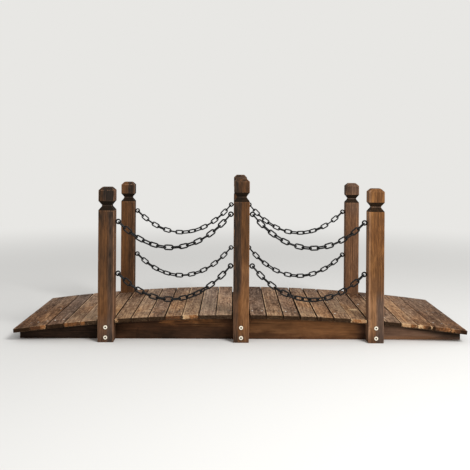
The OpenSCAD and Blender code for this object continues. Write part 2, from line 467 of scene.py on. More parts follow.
def knots_in(log):
    """Distance in metres to the nearest knot, found by its angle and its height."""
    sides = {0: share_along(log, (0, 1, 0)), 1: share_along(log, (1, 0, 0))}
    angle = log.node("ShaderNodeMath", {"operation": "ARCTAN2"}, sides)
    places = {"X": angle * KNOT_SHELL, "Y": share_along(log, (0, 0, 1))}
    unrolled = log.node("ShaderNodeCombineXYZ", None, places)
    cells = {"Vector": unrolled, "Scale": KNOTS_PER_METRE, "Randomness": 1.0}
    nearest = log.node("ShaderNodeTexVoronoi", {"voronoi_dimensions": "2D"}, cells, "Distance")
    return nearest / KNOTS_PER_METRE


def rings_in(log, knots, gap):
    """Late wood from 0 to 1: a slow rise through each year and a sudden end."""
    radius = length_of(scaled(log, (1, 1, 0)))
    bent = radius + cloudy(log, RING_BENDS) * RING_BEND
    bent = bent + smooth(knots, KNOT_SWELLING, 0.0) * RING_BEND
    years = bent / gap + cloudy(log, RING_FRAYS) * RING_FRAY
    year = years.node("ShaderNodeMath", {"operation": "FRACT"}, {0: years})
    return smooth(year, *LATE_FROM) * smooth(year, *LATE_TO)


knots_in_a_metre = KNOTS_PER_METRE**2 * 2 * math.pi * KNOT_SHELL
print("knots in a metre of trunk, on average:", round(knots_in_a_metre, 1))

# %% How the masks are spread
# Lumps in a metre, across the grain in both directions and along it.
FIBRES = (700, 700, 14)
CHECKS = (260, 260, 4)
WARM_PARTS = (7, 7, 3.5)
RUBS = (140, 140, 25)
SPLINTERS = (190, 190, 40)
FRESH_PARTS = (150, 150, 40)
# Values at which a mask sets in and at which it is full.
CHECK_LIMITS = (0.66, 0.76)
KNOT_LIMITS = (9 * MM, 6 * MM)
WARM_LIMITS = (0.42, 0.62)
RUB_LIMITS = (0.45, 1.0)
BARE_LIMITS = (0.4, 0.62)
# How strongly noise frays what a piece's points say.
RUB_FRAY = 1.6
SOAK_AND_SHADE_FRAY = 0.5
BARE_FRAY = 1.5
FRESH_FRAY = 1.2
# What checks take from the colour, how high or deep the masks lie, and what they do to the gloss.
CHECK_DARKNESS = 0.7
LATE_HEIGHT = 0.5
FIBRE_HEIGHT = 0.6
KNOT_HEIGHT = 0.8
CHECK_DEPTH = 1.5
RELIEF_DEPTH = 0.6 * MM
LATE_POLISH = 0.12
RUB_POLISH = 0.1
CHECK_MATT = 0.1
print("fibres are", FIBRES[0] / FIBRES[2], "times as long as they are wide")


# %% A wood finish
def wood_paint(name, look):
    """A stained and weathered wood. The look names its tints and how strongly each mask shows."""
    material, start = bare_material(name)
    log = painted(start, "log", "Vector")
    tone = painted(start, "tone")
    knots = knots_in(log)
    late = rings_in(log, knots, look["ring_gap"])
    fibre = cloudy(log, FIBRES)
    streak = cloudy(log, look["streak_size"], detail=3.0, roughness=0.6)
    patch = cloudy(log, look["patch_size"], detail=3.0, roughness=0.6)
    speck = cloudy(log, look["speck_size"], detail=2.0, roughness=0.7)
    check = smooth(cloudy(log, CHECKS, detail=1.0), *CHECK_LIMITS)
    knot = smooth(knots, *KNOT_LIMITS)

    level = 0.5 + tone * 0.5 + (patch - 0.5) * look["patches"] + (streak - 0.5) * look["streaks"]
    level = level + (speck - 0.5) * look["specks"]
    stain = ramp(level, look["dark"], look["middle"], look["light"])
    stain = mixed(late * look["rings"], stain, look["late"])
    warm = smooth(cloudy(log, WARM_PARTS, detail=2.0), *WARM_LIMITS)
    stain = mixed(warm * look["warmth"], stain, scaled(stain, look["warm"]))
    stain = scaled(stain, 1.0 + (fibre - 0.5) * look["fibres"])
    stain = mixed(knot * look["knots"], stain, look["knot"])
    stain = mixed(check * CHECK_DARKNESS, stain, look["check"])
    faded = {"Saturation": 1.0 - painted(start, "grey") * look["fading"], "Color": stain}
    stain = start.node("ShaderNodeHueSaturation", None, faded)

    rub = painted(start, "wear") + (cloudy(log, RUBS) - 0.5) * RUB_FRAY
    rubbed = smooth(rub, *RUB_LIMITS) * look["rubbing"]
    stain = mixed(rubbed, stain, look["rubbed"])
    # The end mask is soaked end grain, and also painted shade: in the seams, below the deck and in the
    # posts' grooves.
    end = painted(start, "end") * (look["end_soak_and_shade"] + (streak - 0.5) * SOAK_AND_SHADE_FRAY)
    stain = mixed(end, stain, look["end"])
    splinter = cloudy(log, SPLINTERS, detail=3.0, roughness=0.65) - 0.5
    bare = smooth(painted(start, "bare") + splinter * BARE_FRAY, *BARE_LIMITS)
    fray = cloudy(log, FRESH_PARTS, detail=3.0) - 0.5
    paleness = painted(start, "fresh") + fray * FRESH_FRAY
    fresh = ramp(paleness, look["fresh_dark"], look["fresh"], look["fresh_pale"])
    colour = mixed(bare, stain, fresh)

    height = late * LATE_HEIGHT + fibre * FIBRE_HEIGHT - check * CHECK_DEPTH + knot * KNOT_HEIGHT
    polish = late * LATE_POLISH
    sockets = {
        "Base Color": colour,
        "Roughness": look["roughness"] - polish - rubbed * RUB_POLISH + check * CHECK_MATT,
        "Specular IOR Level": look["sheen"],
        "Normal": bumps(height, look["relief"], RELIEF_DEPTH),
    }
    shaded(start, sockets)
    print(name, "has", len(material.node_tree.nodes), "nodes")
    return material


# %% [markdown]
# ## Deck planks
#
# A plank lies flat on the beams and is tangent to the arch, so each one leans a little more
# than the last. Its lean is measured from its plain solid: the direction in which the corners
# spread widest. Feet have rounded its arrises, the sawn ends are not quite even, and at some
# ends the stained skin has torn off.

# %% Deck finish
deck_look = {
    "dark": tint(72, 50, 35),
    "middle": tint(134, 104, 80),
    "light": tint(182, 150, 118),
    "late": tint(78, 54, 38),
    "warm": (1.12, 0.96, 0.78),
    "knot": tint(58, 38, 26),
    "check": tint(38, 27, 20),
    "rubbed": tint(206, 172, 134),
    # Soaked end grain, and the painted shade in the seams.
    "end": tint(36, 22, 11),
    "fresh_dark": tint(78, 50, 32),
    "fresh": tint(142, 94, 56),
    "fresh_pale": tint(202, 170, 130),
    "ring_gap": 3.6 * MM,
    "streak_size": (150, 150, 3.5),
    "patch_size": (16, 16, 5),
    "speck_size": (135, 135, 30),
    "patches": 1.5,
    "streaks": 0.8,
    "specks": 1.95,
    "fading": 0.3,
    "warmth": 0.8,
    "rings": 0.4,
    "fibres": 0.9,
    "knots": 0.8,
    "rubbing": 0.75,
    "end_soak_and_shade": 0.92,
    "relief": 0.9,
    "roughness": 0.86,
    "sheen": 0.05,
}
deck_paint = wood_paint("deck_wood", deck_look)

# %% How a plank lies
def lie_of(node):
    """A plank's middle, its directions across and up, and its half sides."""
    corners = corners_of(node)
    middle = corners.mean(axis=0)
    offsets = corners - middle
    spread = offsets[:, [0, 2]]
    wide = np.linalg.eigh(spread.T @ spread)[1][:, 1]
    wide = wide * np.sign(wide[0])
    across = np.array([wide[0], 0, wide[1]])
    up = np.array([-wide[1], 0, wide[0]])
    half = np.abs(np.c_[offsets @ across, offsets[:, 1], offsets @ up]).max(axis=0)
    return middle, across, up, half


def laid(points, middle, across, up):
    """Points around a plank's middle, brought to where the plank lies."""
    placed = middle + points[:, [0]] * across + points[:, [2]] * up
    placed[:, 1] += points[:, 1]
    return placed


_, first_across, _, plank_half = lie_of(plank_names[0])
print("half sides of a plank in mm:", (plank_half / MM).round(2))
print("the first plank leans by", round(math.degrees(math.asin(first_across[2])), 2), "degrees")

# %% [markdown]
# ## No two planks alike
#
# The planks of the real bridge were laid by eye, so the gaps between them vary, and each plank
# has weathered in its own way. Chance alone would put that anywhere, so a few tables say how it
# is on this bridge. They count the planks from the middle one, which is 0, to the right, and
# leave out those that are as planned.

# %% Seams
# Gaps in mm on the left of these planks.
SEAMS = {
    -12: 0.3, -11: 1.8, -10: 2.4, -9: 0.5, -8: 2.0, -6: 2.2, -5: 1.8, -4: 3.0, -3: 1.0, -2: 2.0, -1: 1.6,
    2: 2.4, 3: 2.9, 4: 4.8, 7: 0.5, 8: 4.8, 9: 2.6, 10: 1.8, 11: 0.3, 12: 1.2, 13: 0.4,
}

steps = [lie_of(name)[0][0] for name in plank_names[middle_plank:middle_plank + 2]]
wide_seam = steps[1] - steps[0] - 2 * plank_half[0]


def gaps_beside(number):
    """The gaps on the left and on the right of a plank, in mm."""
    return np.array([SEAMS.get(seam, wide_seam / MM) for seam in (number, number + 1)])


print("a seam as planned:", round(wide_seam / MM, 2), "mm, laid otherwise:", len(SEAMS))

# %% Weathering
# How much paler than the others these planks are: 1 is the way from the middle tint to the light
# one, and -1 the way to the dark one.
PLANK_TONES = {
    -13: -0.7, -12: -0.4, -11: -0.5, -10: 0.25, -9: 0.5, -8: 0.1, -6: 0.45, -5: -0.15,
    -4: 0.2, -3: 0.35, -2: 0.35, -1: 0.3, 1: -0.35, 3: -0.2, 4: 0.2, 6: 0.2, 7: 0.1, 8: -0.1,
    9: -0.5, 10: 0.25, 11: -0.1, 12: -0.4, 13: -0.6,
}
# How much greyer they are, as shares of what the finish fades at most.
PLANK_GREYS = {
    -11: 0.5, -9: 0.2, -8: -0.2, -5: 0.3, -2: 0.4, -1: 0.4,
    1: 0.4, 3: 0.3, 6: 0.15, 8: -0.2, 9: 0.4, 13: 0.1,
}
# How much further up the log they come from, in metres, so that other patches of it show.
UP_THE_LOG = {
    -12: 4.5, -9: 2.5, -8: 0.5, -6: 3.5, -3: 5.5, -2: 5.5, -1: 7.5, 1: 0.5, 3: 1.5, 7: 4.0,
    9: 0.5, 10: 5.5, 11: 5.5, 13: 5.5,
}
# How strongly feet have rubbed their long sides, where it isn't 1.
PLANK_RUBBED = {-13: 0.4, -12: 0.4, -11: 0.6, -3: 1.3, -1: 1.3, 11: 0.5, 12: 0.3, 13: 0.3}
print("the darkest plank is", min(PLANK_TONES, key=PLANK_TONES.get), "from the middle")

# %% [markdown]
# ## Torn ends and a scar
#
# At some near ends the stained skin has torn off, and bare fibres show: pale where the wood is
# fresh, brown where it has lain open for years. A boolean cut would leave a clean notch. Here
# the points next to the end sink by a ragged amount instead, and the same numbers go to the
# shader, where noise frays them into splinters.

# %% Where the ends are torn
# Plank: left and right edge of each torn part, as shares of the plank's width, how far it runs
# along the top and how deep, in mm, and how pale the wood is at its left and at its right edge.
TORN_ENDS = {
    -12: [(0.0, 0.7, 3, 0.8, -0.1, -0.05), (0.62, 1.0, 5, 1.5, 0.35, 0.65)],
    -10: [(0.0, 1.0, 6, 2.5, 0.3, 0.05)],
    -9: [(0.0, 0.3, 5, 2.5, 0.5, 0.2)],
    -7: [(0.0, 0.24, 4, 3.5, 0.85, 0.6)],
    -4: [(0.0, 0.95, 2, 1.0, -0.1, 0.1)],
    -3: [(0.04, 0.5, 4, 1.5, 0.9, 0.65), (0.46, 0.7, 7, 2.5, 0.5, 0.45), (0.66, 0.98, 13, 3.0, 0.5, 0.2)],
    7: [(0.02, 0.12, 1, 0.6, 1.0, 0.8), (0.1, 0.98, 1, 0.6, 0.55, 0.6), (0.93, 1.0, 1, 0.6, 0.9, 1.0)],
    10: [(0.03, 0.62, 2, 1.0, 0.8, 0.7), (0.58, 0.85, 2, 0.8, 0.25, 0.2), (0.88, 1.0, 2, 0.8, 0.5, 0.6)],
    11: [(0.0, 0.4, 3, 1.2, 0.95, 0.7), (0.38, 0.66, 2, 1.0, 0.2, -0.1), (0.78, 0.9, 4, 1.5, 0.85, 0.85)],
    12: [(0.08, 0.85, 3, 1.0, 0.0, 0.3), (0.83, 1.0, 4, 1.5, 0.5, 0.5)],
    13: [(0.0, 0.22, 4, 1.5, 0.6, 0.5), (0.2, 0.6, 2, 0.8, 0.1, -0.2)],
}
print("planks with a torn near end:", len(TORN_ENDS))

# %% Tearing an end
# Shares of the plank's width: how soft the sides of a tear are, and how far they wander.
TEAR_SOFT = 0.14
TEAR_WANDER = 0.08
# How uneven a tear's length and depth are, and how steeply it falls towards the end.
TEAR_RAGGED = 0.6
TEAR_FALL = 1.5
# How bare a tear is at most, how sharply it sets in, and how much of that is left at the
# underside, rising to all of it over this height.
TEAR_COVER = 0.78
TEAR_BORDER = 2.5
BARE_BELOW = 0.45
BARE_RISE = 0.55
BARE_RISES_OVER = 6 * MM
# How far behind a tear the stain is scuffed, in lengths of the tear.
SCUFF = 3.5


def share_across(points, half):
    """Where points lie between a plank's left side, which is 0, and its right side, which is 1."""
    return points[:, 0] / half[0] / 2 + 0.5


def tear(points, half, tears):
    """Drops a plank's near top arris where it is torn; how bare, fresh and scuffed it is there."""
    bare, fresh, scuff = np.zeros((3, len(points)))
    share = share_across(points, half) + TEAR_WANDER * lumpy(points, per_metre=(0, 60, 330))
    from_end = points[:, 1] + half[1]
    above = np.clip((points[:, 2] + half[2]) / BARE_RISES_OVER, 0, 1)
    ragged = 1 + TEAR_RAGGED * lumpy(points, per_metre=160)
    for left, right, length, depth, pale_left, pale_right in tears:
        inside = np.clip(np.minimum(share - left, right - share) / TEAR_SOFT + 0.5, 0, 1)
        reach = np.clip(1 - from_end / (length * MM * ragged), 0, 1)
        points[:, 2] -= inside * reach**TEAR_FALL * depth * MM * ragged * (points[:, 2] > 0)
        here = inside * np.clip(reach * TEAR_BORDER, 0, 1) * (BARE_BELOW + BARE_RISE * above) * TEAR_COVER
        pale = np.interp(share, (left, right), (pale_left, pale_right))
        fresh = np.where(here > bare, pale, fresh)
        bare = np.maximum(bare, here)
        scuff = np.maximum(scuff, inside * np.exp(-from_end / (SCUFF * length * MM)))
    return bare, fresh, scuff


deepest = max(depth for tears in TORN_ENDS.values() for *_, depth, _, _ in tears)
print("the deepest tear sinks by about", deepest, "mm")

# %% A scar
# Plank: middle and reach of a pale scar on its top, across as shares of the plank's width and
# then along in mm from its near end.
SCARS = {7: (0.62, 0.3, 193, 18)}
SCAR_PALE = 2.0
SCAR_EDGE = 5


def scar(points, half, place):
    """How much of a scar there is at each point of a plank's top."""
    middle, reach, along, reach_along = place
    aside = (share_across(points, half) - middle) / reach
    ahead = (points[:, 1] + half[1] - along * MM) / (reach_along * MM)
    return np.exp(-(aside**4) - ahead**2) * (points[:, 2] > 0)


print("planks with a scar:", len(SCARS))

# %% [markdown]
# ## Wear and painted shade
#
# Feet rub a plank most along a line just inside its long arrises. The seams get painted shade,
# the more the wider they are, and the deck is darker in front of the far posts. These masks
# come from a point's place on the unworn box, so they stay put when the skin is worn or torn.

# %% Wear and painted seam shade on a plank
# How far in the worn line lies and how wide it is, how worn each part is, and how unevenly.
WORN_LINE = 3.4 * MM
WORN_WIDTH = 1.6 * MM
WORN_LEFT = 1.2
WORN_RIGHT = 0.7
WORN_END = 0.8
WORN_END_REACH = 2.2 * MM
WORN_MEAN = 0.85
WORN_UNEVEN = 0.8
# How far in the painted seam shade reaches from a seam, and how much more than covered the arris itself is.
SEAM_SHADE_REACH = 1.6 * MM
SEAM_SHADE_START = 1.2
# The gap in mm from which on a seam is in full painted shade, and what the tightest one gets of that.
FULLY_SHADED_GAP = 1.6
LEAST_SEAM_SHADE = 0.3


def side_to_side(flat, half, ends):
    """A value that goes evenly from a plank's left side to its right side."""
    return np.interp(flat[:, 0], (-half[0], half[0]), ends)


def rubbed_by_feet(flat, half, index):
    """How worn a plank is: along its long sides, at its ends, and more here than there."""
    inwards = half[0] - np.abs(flat[:, 0])
    side = np.where(flat[:, 0] < 0, WORN_LEFT, WORN_RIGHT)
    wear = np.exp(-(((inwards - WORN_LINE) / WORN_WIDTH) ** 2)) * side
    wear = wear * PLANK_RUBBED.get(index - middle_plank, 1.0)
    wear = np.maximum(wear, near_arris(flat[:, 1:], half[1:], WORN_END_REACH) * WORN_END)
    uneven = lumpy(flat, per_metre=(0, 14, 0), seed=5.7 * index)
    return wear * (WORN_MEAN + WORN_UNEVEN * uneven)


def soaked_or_seam_shaded(flat, half, gaps):
    """How dark a plank is at its soaked sawn ends, and with painted shade down its sides."""
    inwards = half[0] - np.abs(flat[:, 0])
    # Painted shade in the seams, the more the wider the gap.
    darkening = side_to_side(flat, half, np.clip(gaps / FULLY_SHADED_GAP, LEAST_SEAM_SHADE, 1))
    in_seam = darkening * np.clip(SEAM_SHADE_START - inwards / SEAM_SHADE_REACH, 0, 1)
    return np.maximum(end_grain(flat[:, 1], half[1]), in_seam)


print("worn most", round(WORN_LINE / MM, 1), "mm inside the long arrises")

# %% Darker deck at the feet of the far posts
FOOT_DARKENING = 0.6
FOOT_REACH = 110 * MM
BEFORE_FOOT = 80 * MM

feet = np.array([axis_of(name) for name in post_names])
far_feet = feet[feet[:, 1] > 0] - (0, BEFORE_FOOT)


def darkening_at_feet(points):
    """How much darker the deck is around the far posts' feet."""
    to_foot = np.linalg.norm(points[:, None, :2] - far_feet, axis=2).min(axis=1)
    return FOOT_DARKENING * np.exp(-((to_foot / FOOT_REACH) ** 2))


print("dirt gathers in front of", len(far_feet), "feet")

# %% Shape of a worn plank
PLANK_SPACING = 7 * MM
CROSS_SPACING = 3 * MM
HOLLOW = 0.3 * MM


def plank_grid(half):
    """The skin of an unworn plank, with more grid lines near its ends."""
    across = grid_lines(half[0], CROSS_SPACING)
    along = grid_lines(half[1], PLANK_SPACING, END_STEPS)
    return box_skin([across, along, grid_lines(half[2], CROSS_SPACING)])


def hollow_out(points, flat, index):
    """Sinks a plank's top by up to HOLLOW, more here than there."""
    sinking = HOLLOW * (1 + lumpy(flat, per_metre=(9, 5, 9), seed=3.1 * index)) * 0.5
    points[:, 2] -= (points[:, 2] > 0) * sinking


def fit_in(points, flat, half, gaps, ends):
    """Shortens a plank at both ends, and sets its sides so that its two gaps come out right."""
    points[:, 1] *= 1 - np.where(points[:, 1] < 0, *ends) / half[1]
    left, right = (wide_seam - gaps * MM) / 2
    points[:, 0] += side_to_side(flat, half, (-left, right))


print("one plank has", len(plank_grid(plank_half)[1]), "quads")

# %% What chance decides about a plank
PLANK_SEED = 100
UNEVEN_END = 1.6 * MM
# Where the pith lies, aside of the plank and above or below it, in mm, and how far up the trunk
# the plank comes from, in metres.
PITH_ASIDE = (-30, 30)
PITH_OFF = (25, 90)
UP_THE_TRUNK = (-40, 40)
CHANCE_TONE = (-0.15, 0.15)
CHANCE_GREY = (0, 0.2)
print("sawn ends stray by up to", UNEVEN_END / MM, "mm")

# %% Planks
PLANK_RADIUS = 2.2 * MM
RADIUS_UNEVEN = 0.45
# The far ends of the planks are greyer, and darker too with painted shade, but not from this plank on to
# the tips.
FAR_GREYER = 0.25
FAR_SHADE = 0.25
RAMPS = 10

for index, name in enumerate(plank_names):
    number = index - middle_plank
    chance = np.random.default_rng(PLANK_SEED + index)
    middle, across, up, half = lie_of(name)
    flat, quads = plank_grid(half)
    gaps = gaps_beside(number)
    wear = rubbed_by_feet(flat, half, index)
    end = soaked_or_seam_shaded(flat, half, gaps)
    points = rounded(flat, half, PLANK_RADIUS, RADIUS_UNEVEN, per_metre=45, seed=7.3 * index)
    bare, fresh, scuff = tear(points, half, TORN_ENDS.get(number, []))
    wear = np.maximum(wear, scuff)
    if number in SCARS:
        scarred = scar(points, half, SCARS[number])
        bare = np.maximum(bare, scarred)
        fresh = np.maximum(fresh, np.clip(SCAR_EDGE * scarred, 0, SCAR_PALE))
    hollow_out(points, flat, index)
    fit_in(points, flat, half, gaps, chance.uniform(0, UNEVEN_END, 2))
    world_points = laid(points, middle, across, up)
    pith = np.array([chance.uniform(*PITH_ASIDE), chance.uniform(*PITH_OFF) * chance.choice([-1, 1])]) * MM
    height = chance.uniform(*UP_THE_TRUNK) + UP_THE_LOG.get(number, 0.0)
    log = np.c_[flat[:, 0] - pith[0], flat[:, 2] - pith[1], flat[:, 1] + height]
    far = flat[:, 1] / half[1]
    tone = chance.uniform(*CHANCE_TONE) + PLANK_TONES.get(number, 0.0)
    tone = tone - FAR_SHADE * far * (abs(number) < RAMPS) - darkening_at_feet(world_points)
    grey = chance.uniform(*CHANCE_GREY) + PLANK_GREYS.get(number, 0.0) + FAR_GREYER * far
    masks = {"log": log, "tone": tone, "grey": grey, "wear": wear, "end": end, "bare": bare, "fresh": fresh}
    plank = add_piece("worn_" + name, world_points, quads, deck_paint, masks)
    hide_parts(name)
print("planks:", len(plank_names))

# %% [markdown]
# ## Plated steel
#
# Two kinds of plated steel show on the bridge: the deck screws, most of them darkened by the
# stain and a few painted with a glint, and the flat round bolt heads, which still shine. The
# plating is a metal only in part, because a thin dull layer of oxide and lacquer covers it, and it
# is never even.

# %% A plated finish
PLATING_METAL = 0.3
PLATING_CLOUDS = (230, 230, 230)
PLATING_SCRATCHES = (2600, 2600, 300)
# How dark the plating is between the clouds, how much paler in them, and what roughens it.
CLOUD_FLOOR = 0.86
CLOUD_RISE = 0.26
CLOUD_ROUGHNESS = 0.2
SCRATCH_ROUGHNESS = 0.15


def plated_steel(name, colour_of, roughness):
    """A plated metal whose colour comes from a function of the material's first flow."""
    material, start = bare_material(name)
    place = own_place(start)
    cloud = cloudy(place, PLATING_CLOUDS, detail=3.0)
    scratch = cloudy(place, PLATING_SCRATCHES, detail=2.0)
    rough = roughness + (cloud - 0.5) * CLOUD_ROUGHNESS + (scratch - 0.5) * SCRATCH_ROUGHNESS
    sockets = {
        "Base Color": scaled(colour_of(start), CLOUD_FLOOR + cloud * CLOUD_RISE),
        "Metallic": PLATING_METAL,
        "Roughness": rough,
        "Normal": bumps(scratch, strength=0.35, depth=0.2 * MM),
    }
    shaded(start, sockets)
    return material


def repaint(names, paint):
    """Gives plain solids that keep their shape a better finish."""
    for name in names:
        for slot in nodes[name].material_slots:
            slot.material = paint


print("the plating is a metal to", PLATING_METAL)

# %% Finish of the screws
DULL_SCREW = tint(70, 54, 42)
# The colour of a painted glint on a screw head.
SCREW_GLINT = tint(248, 238, 222)


def screw_colour(start):
    """Dull brown for most of the deck screws, with a painted glint on the few that say so."""
    return mixed(painted(start, "glint"), DULL_SCREW, SCREW_GLINT)


screw_steel = plated_steel("screw_steel", screw_colour, roughness=0.45)
print("nodes in the screws' finish:", len(screw_steel.node_tree.nodes))

# %% [markdown]
# ## Deck screws
#
# Three rows of screws hold the planks to the beams, two in each plank and row. A boolean could
# cut the cross into a dome, but it leaves long thin faces. Here rings of points make the dome,
# and those that lie inside the cross sink. All heads are copies in one mesh, each turned and
# moved a little, because nobody sets screws on a ruler.

# %% One screw head
# Shares of the radius at which a head's rings of points lie; the last ring is its lower edge.
RINGS = np.array([0.02, 0.14, 0.28, 0.42, 0.54, 0.66, 0.82, 0.94, 1.0, 1.0])
TURNS = 32
SCREW_RADIUS = 4.0 * MM
SCREW_DOME = 1.0 * MM
CROSS_HALF = 0.5 * MM
CROSS_REACH = 1.9 * MM
CROSS_DEPTH = 0.8 * MM


def screw_head():
    """A domed head with a cross slot: its points around zero, up Z, and its quads."""
    turns = np.linspace(0, 2 * math.pi, TURNS, endpoint=False)
    radius, turn = np.meshgrid(RINGS * SCREW_RADIUS, turns, indexing="ij")
    x, y = radius * np.cos(turn), radius * np.sin(turn)
    height = SCREW_DOME * np.sqrt(np.clip(1 - (radius / SCREW_RADIUS) ** 2, 0, 1))
    in_cross = (np.minimum(abs(x), abs(y)) < CROSS_HALF) & (radius < CROSS_REACH)
    height[in_cross] -= CROSS_DEPTH
    height[-1] = -SCREW_DOME
    ring, step = np.meshgrid(np.arange(len(RINGS) - 1), np.arange(TURNS), indexing="ij")
    near, far = ring * TURNS, (ring + 1) * TURNS
    after = (step + 1) % TURNS
    quads = np.stack([near + step, far + step, far + after, near + after], -1).reshape(-1, 4)
    return np.stack([x, y, height], -1).reshape(-1, 3), quads


head_points, head_quads = screw_head()
print("a screw head has", len(head_quads), "quads")

# %% Deck screws
SCREW_SEED = 7
SCREW_ASIDE = 19 * MM
SCREW_INSET = 6 * MM
SCREW_STRAY = 2.5 * MM
CHANCE_GLINT = (0, 0.15)
# Plank and row, from the near beam to the far one: how strong a painted glint the left and the right screw
# get.
SCREW_GLINTS = {
    (-12, 0): (0.3, 0.5), (-12, 1): (0.0, 0.7), (-11, 0): (0.8, 0.6), (-9, 0): (0.0, 0.6),
    (1, 0): (0.9, 1.0), (3, 0): (1.0, 0.3), (6, 0): (0.8, 0.0), (6, 1): (0.8, 0.0),
    (8, 1): (0.8, 0.0), (9, 0): (0.7, 0.0), (12, 0): (0.6, 0.2),
}

draw = np.random.default_rng(SCREW_SEED)
beam_middles = sorted(corners_of(name)[:, 1].mean() for name in beam_names)
all_points, all_quads, all_glints = [], [], []
for index, name in enumerate(plank_names):
    middle, across, up, half = lie_of(name)
    for row, beam_middle in enumerate(beam_middles):
        glints = SCREW_GLINTS.get((index - middle_plank, row), (0.0, 0.0))
        for side, glint in zip((-1, 1), glints):
            turn = draw.uniform(0, math.pi)
            aside, along = draw.uniform(-SCREW_STRAY, SCREW_STRAY, 2)
            inset = math.copysign(SCREW_INSET, beam_middle) * (row != 1)
            spun = head_points @ np.array(Matrix.Rotation(turn, 3, "Z"))
            x = spun[:, 0] + side * SCREW_ASIDE + aside
            y = spun[:, 1] + beam_middle - inset + along
            z = spun[:, 2] + half[2] - HOLLOW
            all_quads.append(head_quads + len(head_points) * len(all_points))
            all_points.append(laid(np.c_[x, y, z], middle, across, up))
            all_glints.append(np.full(len(spun), max(glint, draw.uniform(*CHANCE_GLINT))))
screw_points, screw_quads = np.concatenate(all_points), np.concatenate(all_quads)
glint_of_screws = {"glint": np.concatenate(all_glints)}
add_piece("deck_screws", screw_points, screw_quads, screw_steel, glint_of_screws)
print("deck screws:", len(all_points))

# %% [markdown]
# ## Beams
#
# A beam is a board on edge with its top sawn to the arch, so its grain runs level and is cut
# through near the ends. Its skin is the same grid as a plank's, but the grid's height follows
# the arch. The near beam is almost black on the left of the middle post and brown on the right,
# and feet that slipped off the deck have scraped its outer face.


# %% Bands of stain
BAND_SOFT_ACROSS = 4 * MM
BAND_SOFT_ALONG = 50 * MM


def banded(across, along, bands):
    """Soft bands, each with its ends across and along in mm: how much paler and how much greyer."""
    tone, grey = np.zeros((2, len(across)))
    for across_from, across_to, along_from, along_to, paler, greyer in bands:
        side = np.minimum(across - across_from * MM, across_to * MM - across)
        end = np.minimum(along - along_from * MM, along_to * MM - along)
        share = np.clip(side / BAND_SOFT_ACROSS + 0.5, 0, 1) * np.clip(end / BAND_SOFT_ALONG + 0.5, 0, 1)
        tone += paler * share
        grey += greyer * share
    return tone, grey


print("a band fades over", BAND_SOFT_ACROSS / MM, "mm aside and", BAND_SOFT_ALONG / MM, "mm along")

# %% Beam finish
beam_look = {
    **deck_look,
    "dark": tint(40, 28, 19),
    "middle": tint(88, 58, 38),
    "light": tint(148, 104, 68),
    "late": tint(54, 34, 22),
    "knot": tint(34, 22, 15),
    "check": tint(24, 17, 13),
    "rubbed": tint(160, 100, 54),
    # Soaked end grain, and the painted shade below the deck.
    "end": tint(34, 25, 18),
    "ring_gap": 5 * MM,
    "streak_size": (110, 110, 4),
    "patch_size": (14, 14, 9),
    "speck_size": (200, 200, 25),
    "patches": 0.8,
    "streaks": 0.35,
    "specks": 0.4,
    "warmth": 0.25,
    "rings": 0.15,
    "fibres": 0.5,
    "knots": 0.3,
    "rubbing": 0.7,
}
beam_paint = wood_paint("beam_wood", beam_look)

# %% Stain and a painted shadow on the beams
# Bands across the outer face and along the beam, in mm from the ground and from the middle.
BEAM_STAIN_AND_SHADE_BANDS = {
    "front_beam": [
        (-1, 200, -1000, 0, -0.65, 0.15),
        (-1, 200, -1000, -560, -0.3, 0.5),
        (36, 200, -480, -60, 0.3, 0.0),
        (50, 200, -330, -60, 0.5, -0.15),
        (-1, 200, 0, 560, 0.6, 0.0),
        (-1, 26, 0, 560, -0.5, 0.0),
        (-1, 36, 0, 120, -0.45, 0.0),
        (14, 82, 210, 440, 0.3, 0.0),
        # Painted shadow of the near right post, on top of the shadow that the lamp casts there.
        (-1, 200, 492, 520, -1.2, 0.5),
        (-1, 200, 560, 1000, 1.0, 0.75),
        (-1, 14, 560, 850, 0.05, -0.35),
        (-1, 200, 800, 1000, -0.45, 0.3),
    ],
    "centre_beam": [(-1, 200, -1000, 1000, -0.5, 0.0)],
    "rear_beam": [(-1, 200, -1000, 1000, -0.3, 0.1)],
}
print("bands on the near beam:", len(BEAM_STAIN_AND_SHADE_BANDS["front_beam"]))

# %% Scraped, and painted shade below the deck
# Where the near beam is scraped, along it from the middle and across it from its outer face, in
# mm, and how far below its top.
SCRAPED_ALONG = (-335, -100)
SCRAPED_ACROSS = (-14, 9)
SCRAPE_DEPTH = 17 * MM
SCRAPE_WIDTH = 15 * MM
SCRAPE_MEAN = 0.72
SCRAPE_UNEVEN = 0.5
# How dark the painted shade right below the planks is, and how far down it reaches.
BEAM_SHADE_BELOW_DECK = 0.7
SHADE_DEPTH_BELOW_DECK = 11 * MM
# Places along the near beam in mm, and how much more painted shade there is below the planks there.
MORE_SHADE_BELOW_DECK = ((540, 660, 800), (0.0, 0.1, 0.6))


def scraped_bare(flat, depth, half):
    """How bare a beam's near face is some way below the deck, between two places along it."""
    face = half[1] / MM + np.array(SCRAPED_ACROSS)
    scraped, _ = banded(-flat[:, 1], flat[:, 0], [(*face, *SCRAPED_ALONG, 1, 0)])
    scraped = scraped * np.exp(-(((depth - SCRAPE_DEPTH) / SCRAPE_WIDTH) ** 2))
    return scraped * (SCRAPE_MEAN + SCRAPE_UNEVEN * lumpy(flat, per_metre=(11, 40, 110)))


def shade_below_deck(depth, more):
    """Painted shade on a beam right below the planks, deeper and darker where there is more of it."""
    fading = np.clip(2 - depth / (SHADE_DEPTH_BELOW_DECK * (1 + more)), 0, 1)
    return np.minimum(BEAM_SHADE_BELOW_DECK + 2 * more, 1) * fading


print("scraped over", SCRAPED_ALONG[1] - SCRAPED_ALONG[0], "mm")

# %% Beams
BEAM_RADIUS = 2.2 * MM
BEAM_UNEVEN = 0.5
BEAM_SPACINGS = (8 * MM, 6 * MM, 6 * MM)
BEAM_WORN = 0.8
BEAM_WORN_REACH = 2.5 * MM
